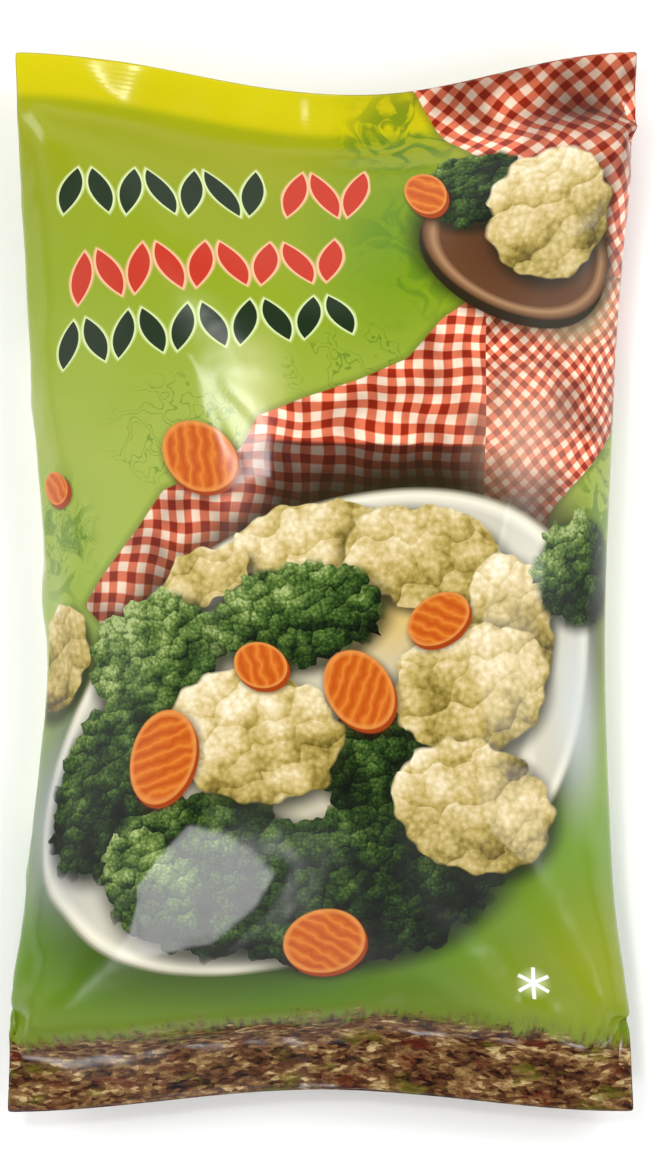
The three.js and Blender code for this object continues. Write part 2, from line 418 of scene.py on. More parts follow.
# %% [markdown]
# ## A finer film with its creases
# The simulation ran on a coarse grid to be quick. One round of subdivision gives a mesh that can
# hold creases. Where film is pulled taut it lies in flat facets with a crisp fold round them, and
# those facets are what catches a light as one even patch. Each is pressed to the plane that fits
# its own part of the dome best, so it needs only its corners. Small puckers run in from the
# seals, where the film has to gather to become flat.

# %% Split every face in four
def refined(mesh, places):
    """The film with every face split in four. Returns the mesh, its places and flat places."""
    for vert, place in zip(mesh.vertices, places):
        vert.co = place
    bm = bmesh.new()
    bm.from_mesh(mesh)
    sewing = [edge for edge in bm.edges if not edge.link_faces]
    bmesh.ops.delete(bm, geom=sewing, context="EDGES")
    bm.to_mesh(mesh)
    bm.free()
    coarse = bpy.data.objects.new("coarse_film", mesh)
    bpy.context.scene.collection.objects.link(coarse)
    finer = coarse.modifiers.new("finer", "SUBSURF")
    finer.levels = finer.render_levels = 1
    finer.uv_smooth = "NONE"
    split = bpy.data.meshes.new_from_object(
        coarse.evaluated_get(bpy.context.evaluated_depsgraph_get()))
    bpy.data.objects.remove(coarse)
    fine_place = np.array([v.co[:] for v in split.vertices])
    fine_flat = np.zeros((len(split.vertices), 3))
    uv = np.array([loop.uv[:] for loop in split.uv_layers["flat"].data])
    corner = np.array([loop.vertex_index for loop in split.loops])
    on_back = uv[:, 0] > BACK_OFFSET / 2
    fine_flat[corner[on_back]] = np.c_[uv[on_back] - (BACK_OFFSET, 0), -np.ones(on_back.sum())]
    shared = np.isin(corner, corner[on_back])
    fine_flat[corner[~on_back]] = np.c_[uv[~on_back], np.where(shared, 0, 1)[~on_back]]
    return split, fine_place, fine_flat


film_mesh, fitted, flat_place = refined(film_mesh, fitted)
on_front = flat_place[:, 2] > 0
print("finer film:", len(film_mesh.vertices), "vertices")

# %% Facets, folds and puckers of the front
FACET_EDGE = 4.0  # width of the fold round a facet
SEAM_HALF = 6.0  # half the width of the fin that is folded flat behind the bag
# Corners of each taut facet, seen from above
FACETS = [
    [(-66, -98), (-44, -73), (-10, -93), (-18, -108), (-36, -124), (-60, -127)],
    [(-50, 78), (-43, 79), (-14, 46), (-11, 28), (-25, 32)],
    [(52, -60), (72, -56), (78, -84), (66, -96), (50, -84)],
    [(62, 26), (54, -2), (51, -18), (54, -44), (66, -46), (74, -22), (75, 14)],
]
# Start, end, height and half-width of each fold that stands up from the film
FOLDS = [((61, 28), (50, -18), 1.1, 5), ((50, -18), (53, -50), 1.0, 5),
         ((-12, 155), (-22, 118), -0.7, 7), ((8, 152), (2, 130), -0.5, 5),
         ((62, 150), (40, 118), -0.7, 8), ((-72, 152), (-50, 120), -0.8, 9),
         ((-46, -150), (-40, -124), -0.7, 8), ((30, -152), (22, -128), -0.6, 7),
         ((72, -150), (58, -118), -0.8, 8), ((-6, -152), (-4, -134), 0.5, 6),
         ((-100, -18), (-74, -24), -1.2, 7), ((101, -6), (78, -12), -1.2, 7),
         ((103, 124), (80, 112), -1.0, 7), ((-100, 66), (-80, 60), -0.8, 7)]
PUCKER_HEIGHT = 0.5
PUCKER_WIDTH = 9.0
PUCKER_LENGTH = 54.0
PUCKER_REACH = 34.0
SEAM_IMPRINT = 0.35  # how far the fin behind a band shows through to the front
BAND_FADE = 6  # folds fade out over this distance at the bands
SIDE_FADE = 8  # and over this one at the sides, where the front meets the back


def depth_inside(points, corners):
    """How far each point is inside a polygon, in the same units, below zero outside."""
    nearest = np.full(len(points), 1e9)
    inside = np.zeros(len(points), bool)
    for start, end in zip(corners, np.roll(corners, -1, 0)):
        edge = end - start
        t = np.clip((points - start) @ edge / (edge @ edge), 0, 1)
        nearest = np.minimum(nearest, np.linalg.norm(points - start - t[:, None] * edge, axis=1))
        crosses = (start[1] > points[:, 1]) != (end[1] > points[:, 1])
        level = np.where(edge[1] == 0, 1e-9, edge[1])
        inside ^= crosses & (points[:, 0] < start[0] + (points[:, 1] - start[1]) * edge[0] / level)
    return np.where(inside, nearest, -nearest)


def press_facet(place, corners):
    """Presses one patch of the front to the plane that fits it best, and returns its middle
    in metres and its normal."""
    depth = depth_inside(place[:, :2], np.array(corners, float))
    inside = on_front & (depth > 0)
    columns = np.c_[place[inside, :2], np.ones(inside.sum())]
    plane = np.linalg.lstsq(columns, place[inside, 2], rcond=None)[0]
    level = place[:, :2] @ plane[:2] + plane[2]
    place[:, 2] += smooth_step(0, FACET_EDGE, depth) * on_front * (level - place[:, 2])
    middle = place[inside].mean(0)
    return Vector(middle) * MM, Vector((-plane[0], -plane[1], 1)).normalized()


def raise_fold(place, start, end, height, half_width):
    """A fold along a line, with a crisp crest and sides that fade away."""
    start, end = np.array(start, float), np.array(end, float)
    along = np.clip((place[:, :2] - start) @ (end - start) / ((end - start) @ (end - start)), 0, 1)
    away = np.linalg.norm(place[:, :2] - start - along[:, None] * (end - start), axis=1)
    place[:, 2] += height * np.exp(-away / half_width) * on_front * inner_film


def pucker(place):
    """Gathers that run in from the seals, as smooth noise that is stretched along the bag."""
    fade = np.clip(1 - (BAG_LENGTH / 2 - SEAL_BAND - abs(place[:, 1])) / PUCKER_REACH, 0, 1) ** 1.5
    for index in np.flatnonzero(on_front & (fade > 0)):
        x, y, _ = place[index]
        wave = noise.noise(Vector((x / PUCKER_WIDTH, y / PUCKER_LENGTH, 4.2)))
        place[index, 2] += PUCKER_HEIGHT * wave * fade[index] * inner_film[index]


from_band = FLAT_LENGTH / 2 - SEAL_BAND - abs(flat_place[:, 1])
from_side = FLAT_WIDTH / 2 - abs(flat_place[:, 0])
inner_film = smooth_step(0, BAND_FADE, from_band) * smooth_step(0, SIDE_FADE, from_side)
facets = [press_facet(fitted, corners) for corners in FACETS]
for start, end, height, half_width in FOLDS:
    raise_fold(fitted, start, end, height, half_width)
pucker(fitted)
on_imprint = on_front & (from_band < 0) & (abs(flat_place[:, 0]) < SEAM_HALF)
fitted[on_imprint, 2] += SEAM_IMPRINT
for middle, normal in facets:
    print("facet at", [round(c / MM) for c in middle], "faces", [round(c, 2) for c in normal])

# %% [markdown]
# ## The film and the fin seam as pieces
# The back's weld stands up as a fin that is folded flat. It is a strip of the back's own faces,
# copied, moved out and given a thickness, so it follows the back exactly. The back gives way by
# the height of the fin, because the bag lies on it.

# %% Make the pieces
SEAM_RISE = 0.5  # how far the fin's outer face stands off the film
SEAM_THICKNESS = 0.3


def make_room(place):
    """Presses the back in along the fin, wherever it would reach below the table."""
    on_fin = (flat_place[:, 2] < 0) & (abs(flat_place[:, 0]) < SEAM_HALF + 2)
    place[on_fin, 2] = np.maximum(place[on_fin, 2], SEAM_RISE)


def film_piece():
    """The film as one smooth mesh, in metres, with its origin at the frame's origin."""
    for vert, place in zip(film_mesh.vertices, fitted):
        vert.co = Vector(place) * MM
    for face in film_mesh.polygons:
        face.use_smooth = True
    piece = bpy.data.objects.new("film", film_mesh)
    bpy.context.scene.collection.objects.link(piece)
    return piece


def seam_piece():
    """The folded fin: the back's own faces along the middle, moved out and thickened."""
    bm = bmesh.new()
    bm.from_mesh(film_mesh)
    flat = bm.loops.layers.uv["flat"]
    off_fin = [face for face in bm.faces
               if any(abs(loop[flat].uv.x - BACK_OFFSET) > SEAM_HALF for loop in face.loops)]
    bmesh.ops.delete(bm, geom=off_fin, context="FACES")
    out = {vert: vert.normal * (SEAM_RISE - SEAM_THICKNESS) * MM for vert in bm.verts}
    for vert, step in out.items():
        vert.co += step
    bmesh.ops.solidify(bm, geom=bm.faces[:], thickness=-SEAM_THICKNESS * MM)
    bmesh.ops.recalc_face_normals(bm, faces=bm.faces)
    mesh = bpy.data.meshes.new("fin_seam")
    bm.to_mesh(mesh)
    bm.free()
    piece = bpy.data.objects.new("fin_seam", mesh)
    bpy.context.scene.collection.objects.link(piece)
    return piece


make_room(fitted)
film = film_piece()
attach(film, "root")
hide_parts("bag")
fin_seam = seam_piece()
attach(fin_seam, "root")
seam_low = min(vert.co.z for vert in fin_seam.data.vertices) / MM
print("fin seam:", len(fin_seam.data.polygons), "faces, lowest point", round(seam_low, 2), "mm")

# %% [markdown]
# ## Helpers for materials
# Colours are chosen as sRGB hex values, because that is how print and screens name them, but
# Blender's sockets take linear values, so one function turns them. Another adds a node with its
# settings and its links in one go, which keeps a long node tree short enough to read.

# %% Colours and nodes
def linear(code):
    """An sRGB colour such as #a5b31d as the linear RGBA that Blender's sockets take."""
    channels = [int(code[k:k + 2], 16) / 255 for k in (1, 3, 5)]
    return [c / 12.92 if c <= 0.04045 else ((c + 0.055) / 1.055) ** 2.4 for c in channels] + [1]


def node(tree, kind, settings=None, inputs=None, out=0):
    """Adds a node with its settings and its inputs, values or sockets, and returns an output."""
    made = tree.nodes.new("ShaderNode" + kind)
    for name, value in (settings or {}).items():
        if name == "stops":
            ramp = made.color_ramp.elements
            while len(ramp) < len(value):
                ramp.new(1.0)
            for element, (at, code) in zip(ramp, value):
                element.position = at
                element.color = linear(code)
        else:
            setattr(made, name, value)
    for key, value in (inputs or {}).items():
        if isinstance(value, bpy.types.NodeSocket):
            tree.links.new(value, made.inputs[key])
        else:
            made.inputs[key].default_value = value
    return made.outputs[out]


# %% [markdown]
# ## Where the print lies
# The design is drawn in the flat coordinates of the tube, as a printer would, so it follows every
# fold of the film. Its places are easier to judge on the filled bag, seen from above, so one
# function looks up which point of the flat film lies under a place of the front. Fields with a
# free outline, such as the cloth, are given by a few corners. Each vertex of the film then holds
# its distance to that outline, and the material cuts the colour off where it passes zero.

# %% Look up flat places, and store the free outlines
front_tree = kdtree.KDTree(len(fitted))
for index, place in enumerate(fitted):
    if flat_place[index, 2] >= 0:
        front_tree.insert((place[0], place[1], 0), index)
front_tree.balance()


def printed_at(x, y):
    """The flat coordinates of the film that lies at a place, seen from above."""
    _, nearest, _ = front_tree.find((x, y, 0))
    return flat_place[nearest, :2] + (np.array((x, y)) - fitted[nearest, :2])


# Corners of the checked cloth's two fields, seen from above. Past the edge they just run on.
CORNER_CLOTH = [(22, 190), (30, 163), (38, 150), (50, 141), (66, 136), (82, 139), (90, 128),
                (92, 108), (88, 84), (96, 78), (125, 76), (125, 190)]
CLOTH_BAND = [(-21, 54), (-6, 60), (12, 66), (28, 73), (39, 86), (53, 96), (72, 98), (90, 100),
              (125, 100), (125, 66), (104, 58), (88, 38), (76, 25), (60, -10), (-8, -12),
              (-60, -26), (-78, -8), (-72, 2), (-60, 18), (-52, 30), (-38, 36), (-26, 44)]
FAR_OUTSIDE = -50.0  # the depth that the fin gets, because no cloth is printed on it


def store_outline(name, corners):
    """Keeps the depth inside an outline on the vertices of both pieces. The print runs on round
    the side edges, so the back's places are counted on past them."""
    flat_corners = np.array([printed_at(x, y) for x, y in corners])
    across, along, layer = flat_place.T
    run_on = np.where(layer < 0, np.sign(across) * (FLAT_WIDTH - abs(across)), across)
    depth = depth_inside(np.c_[run_on, along], flat_corners)
    off_cloth = np.full(len(fin_seam.data.vertices), FAR_OUTSIDE)
    for mesh, values in ((film_mesh, depth), (fin_seam.data, off_cloth)):
        attribute = mesh.attributes.new(name, "FLOAT", "POINT")
        attribute.data.foreach_set("value", values.astype(np.float32))


store_outline("corner_cloth", CORNER_CLOTH)
store_outline("cloth_band", CLOTH_BAND)
film_material = bpy.data.materials.new("printed_polyethylene_film")
film_material.use_nodes = True
ink = film_material.node_tree
film_shader = ink.nodes["Principled BSDF"]
# The third coordinate is 1, so that a dot product can also hold a shift
flat = node(ink, "VectorMath", {"operation": "ADD"},
            {0: node(ink, "UVMap", {"uv_map": "flat"}), 1: (0, 0, 1)})
flat_x = node(ink, "SeparateXYZ", inputs={0: flat})
flat_y = node(ink, "SeparateXYZ", inputs={0: flat}, out=1)

# %% [markdown]
# ## Ellipses without a Mapping node
# Almost everything in the picture is an ellipse. A Mapping node could bring the coordinates into
# each ellipse's own space, but it works its turn out anew at every sample, and dozens of them slow
# the render down. A place along a turned and shifted axis is also just one dot product with a
# fixed vector. Ellipses with the same turn can even share their turned axes, and then a scale, a
# shift and a length are all that each needs of its own. In its own space an ellipse's edge is at
# distance one. That is why the motifs below keep to a few turns.

# %% The ellipse's own space
def axes_about(coordinates, u, v, size, turn):
    """Places along two turned axes about a point of the flat film, as shares of a size."""
    c, s = math.cos(math.radians(turn)), math.sin(math.radians(turn))
    rows = ((c / size[0], s / size[0], -(u * c + v * s) / size[0]),
            (-s / size[1], c / size[1], (u * s - v * c) / size[1]))
    return [node(ink, "VectorMath", {"operation": "DOT_PRODUCT"}, {0: coordinates, 1: row}, out=1)
            for row in rows]


def own_axes(coordinates, at, size, turn):
    """Places along the long and short axis of a turned ellipse."""
    return axes_about(coordinates, *printed_at(*at), size, turn)


turned_before = {}


def turned(coordinates, turn):
    """The coordinates turned about the origin, made once for each turn."""
    if turn == 0:
        return coordinates
    key = (coordinates.node.name, turn)
    if key not in turned_before:
        along, up = axes_about(coordinates, 0, 0, (1, 1), turn)
        turned_before[key] = node(ink, "CombineXYZ", inputs={0: along, 1: up})
    return turned_before[key]


def distance_in(coordinates, at, size, turn):
    """How far from an ellipse's middle a point is, with the edge at 1."""
    u, v = printed_at(*at)
    c, s = math.cos(math.radians(turn)), math.sin(math.radians(turn))
    shift = (-(u * c + v * s) / size[0], (u * s - v * c) / size[1], 0)
    place = node(ink, "VectorMath", {"operation": "MULTIPLY_ADD"},
                 {0: turned(coordinates, turn), 1: (1 / size[0], 1 / size[1], 0), 2: shift})
    return node(ink, "VectorMath", {"operation": "LENGTH"}, {0: place}, out=1)


def lay_over(below, above, share):
    """Puts one colour over another, as far as share says."""
    return node(ink, "Mix", {"data_type": "RGBA"}, {0: share, 6: below, 7: above}, out=2)


# %% [markdown]
# ## The ground
# The front is a field of lime that turns from a yellow band at the top to a pale glow in the
# middle and a fresh green below, and it stands on a strip of soil. Yellow inks come out too olive
# when they are darkened with green, so the yellow stops keep a high red value. A soft, wide noise
# shifts the tone a little, as on a printed photograph of a meadow.

# %% Lime ground with its yellow band
GROUND_END = FLAT_LENGTH / 2
CLOUD_SHIFT = 24.0  # how far up and down the clouds move the tones in all
GROUND_STOPS = [(-185, "#718715"), (-140, "#647d13"), (-118, "#577d15"), (-95, "#638a20"),
                (-20, "#8da245"), (45, "#92a142"), (75, "#889b2e"), (100, "#829512"),
                (135, "#849008"), (160, "#8e9306"), (168, "#939806"), (171, "#bdb204"),
                (185, "#c5ba06")]
wide_cloud = node(ink, "TexNoise", {"noise_dimensions": "2D"},
                  {"Vector": flat, "Scale": 0.022, "Detail": 2.0})
shifted_y = node(ink, "Math", {"operation": "MULTIPLY_ADD"},
                 {0: wide_cloud, 1: CLOUD_SHIFT,
                  2: node(ink, "Math", {"operation": "SUBTRACT"}, {0: flat_y, 1: CLOUD_SHIFT / 2})})
# The yellow band keeps its straight edge, so the clouds fade out towards it
steady = node(ink, "MapRange", inputs={0: flat_y, 1: 120.0, 2: 160.0})
ground_y = node(ink, "Mix", inputs={0: steady, 2: shifted_y, 3: flat_y})
ground_at = node(ink, "MapRange", inputs={0: ground_y, 1: -GROUND_END, 2: GROUND_END})
stops = [((y + GROUND_END) / FLAT_LENGTH, code) for y, code in GROUND_STOPS]
picture = node(ink, "ValToRGB", {"stops": stops}, {0: ground_at})
# Clouds of colour on the ground: colour, place, half-sizes and strength. The pale one under the
# leaves is a painted highlight.
GROUND_CLOUDS_AND_HIGHLIGHT = [("#5c830a", (22, 112), (42, 62), 0.75), ("#c4c47c", (-22, 62), (16, 34), 0.5),
                ("#84900c", (96, -128), (64, 52), 0.9), ("#38680c", (-8, -134), (70, 22), 0.6),
                ("#46700a", (-72, -132), (46, 26), 0.6), ("#94930a", (30, 172), (66, 24), 0.8)]


def glow(below, colour, at, size, strength):
    """A soft round cloud of one colour over the picture so far. It draws tints of the print, and
    also painted shade, highlights and reflections.
    """
    share = node(ink, "MapRange", {"interpolation_type": "SMOOTHSTEP"},
                 {0: distance_in(flat, at, size, 0), 1: 1.0, 2: 0.0, 3: 0.0, 4: strength})
    return lay_over(below, linear(colour), share)


# Tints of the ground, and one painted highlight
for colour, at, size, strength in GROUND_CLOUDS_AND_HIGHLIGHT:
    picture = glow(picture, colour, at, size, strength)

# %% Foliage and pen lines on the ground
LEAF_GREEN = "#3f6c10"
PEN_GREEN = "#406c16"
LINE_HALF = 0.008  # half the width of a pen line, as a step of the noise that it follows
# Place, half-sizes and strength of each patch of foliage, and place and half-sizes of each sketch
FOLIAGE = [((26, 146), (26, 24), 0.7), ((30, 108), (26, 34), 0.45),
           ((-86, 14), (20, 30), 0.55), ((92, 20), (16, 44), 0.6)]
SKETCHES = [((-48, 50), (30, 22)), ((8, 72), (26, 16)), ((-84, 16), (16, 20))]

# Blurred foliage behind the cloth and at the sides, in patches of darker green
foliage = node(ink, "TexNoise", {"noise_dimensions": "2D"},
               {"Vector": flat, "Scale": 0.09, "Detail": 3.0, "Roughness": 0.55, "Distortion": 1.2})
in_leaf = node(ink, "MapRange", {"interpolation_type": "SMOOTHSTEP"}, {0: foliage, 1: 0.46, 2: 0.6})
for at, size, strength in FOLIAGE:
    share = node(ink, "MapRange", {"interpolation_type": "SMOOTHSTEP"},
                 {0: distance_in(flat, at, size, 0), 1: 1.0, 2: 0.4, 4: strength})
    share = node(ink, "Math", {"operation": "MULTIPLY"}, {0: share, 1: in_leaf})
    picture = lay_over(picture, linear(LEAF_GREEN), share)

# Thin lines as of a pen sketch of leaves, where a wide noise passes its middle value
sketch = node(ink, "TexNoise", {"noise_dimensions": "2D"},
              {"Vector": flat, "Scale": 0.07, "Detail": 2.5, "Roughness": 0.65})
lines = [node(ink, "Math", {"operation": "COMPARE"}, {0: sketch, 1: level, 2: LINE_HALF})
         for level in (0.46, 0.54)]
on_line = node(ink, "Math", {"operation": "MAXIMUM"}, {0: lines[0], 1: lines[1]})
for at, size in SKETCHES:
    share = node(ink, "MapRange", {"interpolation_type": "SMOOTHSTEP"},
                 {0: distance_in(flat, at, size, 22), 1: 1.0, 2: 0.5, 4: 0.55})
    share = node(ink, "Math", {"operation": "MULTIPLY"}, {0: share, 1: on_line})
    picture = lay_over(picture, linear(PEN_GREEN), share)

# %% [markdown]
# ## The checked cloth
# Gingham is woven from two sets of stripes. Where both sets are red the square is deep red, where
# one is red it is salmon, and where none is it stays cream. So the pattern is two stripe waves
# added up, and it can lie at any angle. The cloth is printed with soft folds, drawn as broad bands
# of shade across it, and it lies at three angles: in the corner, along the band, and where the
# band turns over a fold.

# %% Gingham
CHECK_PERIOD = 6.2  # one dark and one light stripe
CORNER_TURN = 38
BAND_TURN = -3
FOLDED_TURN = 43
FOLD_X = 51.0  # where the band's cloth turns over
FOLDED_SCALE = 0.72  # the folded part lies further back, so its checks are smaller
CORNER_FROM = 102.0  # above this height the cloth is the corner's
DRAPE = 6  # how far the drape pulls the stripes out of line


def drawn_at(turn, place, scale):
    """The flat coordinates turned about a place, and scaled where the cloth lies further back."""
    along, up = axes_about(flat, *place, (scale, scale), turn)
    return node(ink, "CombineXYZ", inputs={0: along, 1: up})


def stripe(coordinate):
    """A soft-edged stripe wave along one coordinate of the cloth."""
    wave = node(ink, "Math", {"operation": "PINGPONG"}, {0: coordinate, 1: CHECK_PERIOD / 2})
    return node(ink, "MapRange", inputs={0: wave, 1: CHECK_PERIOD * 0.22, 2: CHECK_PERIOD * 0.28})


def gingham(coordinates):
    """The colour of the checked cloth in its own coordinates."""
    drape = node(ink, "TexNoise", {"noise_dimensions": "2D"},
                 {"Vector": flat, "Scale": 0.04, "Detail": 1.0}, out="Color")
    pulled = node(ink, "VectorMath", {"operation": "MULTIPLY_ADD"},
                  {0: drape, 1: (DRAPE, DRAPE, 0), 2: coordinates})
    across = stripe(node(ink, "SeparateXYZ", inputs={0: pulled}))
    along = stripe(node(ink, "SeparateXYZ", inputs={0: pulled}, out=1))
    both = node(ink, "Math", {"operation": "ADD"}, {0: across, 1: along})
    share = node(ink, "Math", {"operation": "MULTIPLY"}, {0: both, 1: 0.5})
    colour = node(ink, "ValToRGB", {"stops": [(0.0, "#f6d9bf"), (0.5, "#d8704f"),
                                              (1.0, "#8f2208")]}, {0: share})
    folds = node(ink, "TexNoise", {"noise_dimensions": "2D"},
                 {"Vector": coordinates, "Scale": 0.05, "Detail": 2.0})
    shade = node(ink, "MapRange", inputs={0: folds, 1: 0.3, 2: 0.6, 3: 0.45, 4: 1.0})
    shade_colour = node(ink, "CombineXYZ", inputs={0: shade, 1: shade, 2: shade})
    return node(ink, "Mix", {"data_type": "RGBA", "blend_type": "MULTIPLY"},
                {0: 1.0, 6: colour, 7: shade_colour}, out=2)


folded = node(ink, "Math", {"operation": "GREATER_THAN"}, {0: flat_x, 1: FOLD_X})
in_corner = node(ink, "Math", {"operation": "GREATER_THAN"}, {0: flat_y, 1: CORNER_FROM})
band_thread = node(ink, "Mix", {"data_type": "VECTOR"},
                   {0: folded, 4: drawn_at(BAND_TURN, (0, 60), 1.0),
                    5: drawn_at(FOLDED_TURN, (FOLD_X, 60), FOLDED_SCALE)}, out=1)
thread = node(ink, "Mix", {"data_type": "VECTOR"},
              {0: in_corner, 4: band_thread, 5: drawn_at(CORNER_TURN, (60, 150), 1.0)}, out=1)
cloth = gingham(thread)
for field in ("corner_cloth", "cloth_band"):
    depth = node(ink, "Attribute", {"attribute_name": field}, out="Fac")
    # A dark line of shade runs round the cloth, and the cloth itself starts inside it
    shade = node(ink, "MapRange", inputs={0: depth, 1: -2.5, 2: 0.5, 4: 0.6})
    picture = lay_over(picture, linear("#4a4a18"), shade)
    on_cloth = node(ink, "MapRange", inputs={0: depth, 1: -0.2, 2: 0.2})
    picture = lay_over(picture, cloth, on_cloth)

# %% [markdown]
# ## Simple fields: plate, board and shadows
# The plate and the board are ellipses with a ramp of colour from the middle to the edge, which
# draws the well, the rim and its bright line. A shadow is the same ellipse, a little larger and
# soft, laid down first.

# %% The plate and the board
def cast_shadow(below, distance, colour="#1d2408", reach=1.25, strength=0.8):
    """A soft shadow that reaches a little past an ellipse."""
    share = node(ink, "MapRange", {"interpolation_type": "SMOOTHSTEP"},
                 {0: distance, 1: reach, 2: 0.9, 4: strength})
    return lay_over(below, linear(colour), share)


def disc(below, at, size, turn, stops):
    """An ellipse whose colour is a ramp from its middle to its edge, with its shadow."""
    distance = distance_in(flat, at, size, turn)
    colour = node(ink, "ValToRGB", {"stops": stops}, {0: distance})
    share = node(ink, "MapRange", inputs={0: distance, 1: 1.01, 2: 0.99})
    return lay_over(cast_shadow(below, distance), colour, share)


SHADE_AT = (14, 45)  # a place on the upper line of the cloth's darkest shade
SHADE_TURN = -2
# Clouds of colour on the cloth and on the plate: colour, place, half-sizes and strength. On the
# cloth, the salmon cloud is a painted reflection, a pale veil, and the two dark ones are painted
# shade in the corner. On the plate, the two grey clouds are painted reflections.
CLOTH_TINTS_AND_PAINTED_LIGHT = [("#d9c496", (84, 92), (26, 20), 0.85), ("#e2b79c", (66, 46), (26, 34), 0.4),
               ("#2c0a06", (85, 157), (26, 26), 0.85), ("#5a1a10", (66, 172), (60, 22), 0.35)]
PLATE_TINT_AND_PAINTED_REFLECTIONS = [("#9ea4a6", (-84, -78), (32, 46), 0.8), ("#c4cac8", (84, -42), (15, 50), 0.8),
               ("#c6a95e", (20, -10), (58, 28), 0.9)]
PLATE_AT = (0, -50)
PLATE_SIZE = (103, 71)
PLATE_TURN = 33
BOARD_AT = (66, 110)
BOARD_SIZE = (35, 22)
BOARD_TURN = -28
BOARD_EDGE_AT = (65, 107)  # the board's thickness is the same disc in dark, a little lower


def deep_shade(below):
    """The darkest shade on the cloth, next to the plate and up to where the cloth turns over."""
    past, above = own_axes(flat, SHADE_AT, (1, 1), SHADE_TURN)
    deep = node(ink, "MapRange", {"interpolation_type": "SMOOTHSTEP"},
                {0: above, 1: 0.8, 2: -0.6, 4: 0.84})
    end = node(ink, "MapRange", {"interpolation_type": "SMOOTHSTEP"}, {0: past, 1: -46.0, 2: -26.0})
    not_folded = node(ink, "Math", {"operation": "SUBTRACT"}, {0: 1.0, 1: folded})
    for share in (end, not_folded, on_cloth):
        deep = node(ink, "Math", {"operation": "MULTIPLY"}, {0: deep, 1: share})
    return lay_over(below, linear("#240c06"), deep)


# The plate stands between the light and the cloth, and throws a broad shade on it
picture = cast_shadow(picture, distance_in(flat, (6, -42), (104, 73), 33), "#2a0d08", 1.08, 0.7)
picture = deep_shade(picture)
# Tints of the cloth, painted shade in its corner and a painted reflection
for colour, at, size, strength in CLOTH_TINTS_AND_PAINTED_LIGHT:
    picture = glow(picture, colour, at, size, strength)
picture = disc(picture, PLATE_AT, PLATE_SIZE, PLATE_TURN,
               [(0.0, "#bdb69e"), (0.72, "#b5ae96"), (0.76, "#9f9a86"), (0.79, "#c2bda8"),
                (0.94, "#bdb9a8"), (0.975, "#dfdac6"), (1.0, "#aaa58e")])
# Painted reflections on the plate, and a tan cloud
for colour, at, size, strength in PLATE_TINT_AND_PAINTED_REFLECTIONS:
    picture = glow(picture, colour, at, size, strength)
picture = disc(picture, BOARD_EDGE_AT, BOARD_SIZE, BOARD_TURN,
               [(0.0, "#3a1c0e"), (1.0, "#2a1408")])
picture = disc(picture, BOARD_AT, BOARD_SIZE, BOARD_TURN,
               [(0.0, "#4a2813"), (0.82, "#5c3a20"), (0.89, "#9f7a58"), (0.94, "#7c593a"),
                (1.0, "#412614")])

# %% [markdown]
# ## Bumpy vegetables
# A broccoli or cauliflower head is a cluster of bumps, and each bump is a cluster of buds. A
# Voronoi pattern gives both: each cell is one bump. The vector from a cell's middle to a point
# of it tells which way the bump faces there, so its dot product with a light direction shades
# the bump like a small ball. Pulling the coordinates towards the cells' middles makes the
# floret's outline follow the bumps as well.

# %% Bumps of broccoli and cauliflower
LIGHT_FROM = (-0.5, 0.85, 0)
HEAD_SHADE = 0.28  # how much lighter a whole head is on its lit side
TONE_SPAN = 0.7  # brings the sum of all tones back to between 0 and 1
SPECK_SHARE = 0.3  # how much the finest grain of the print counts
RIDGE_PITCH = 4.0  # from ridge to ridge of a crinkle cutter
RIDGE_WAVE = 3  # how far the ridges wander from a straight line
BUMP_WOBBLE = 0.45  # how far the bumps' cells are pulled out of shape, as a share of their size
wavy = node(ink, "VectorMath", {"operation": "MULTIPLY_ADD"},
            {0: node(ink, "TexNoise", {"noise_dimensions": "2D"},
                     {"Vector": flat, "Scale": 0.2, "Detail": 1.0}, out="Color"),
             1: (RIDGE_WAVE, RIDGE_WAVE, 0), 2: flat})


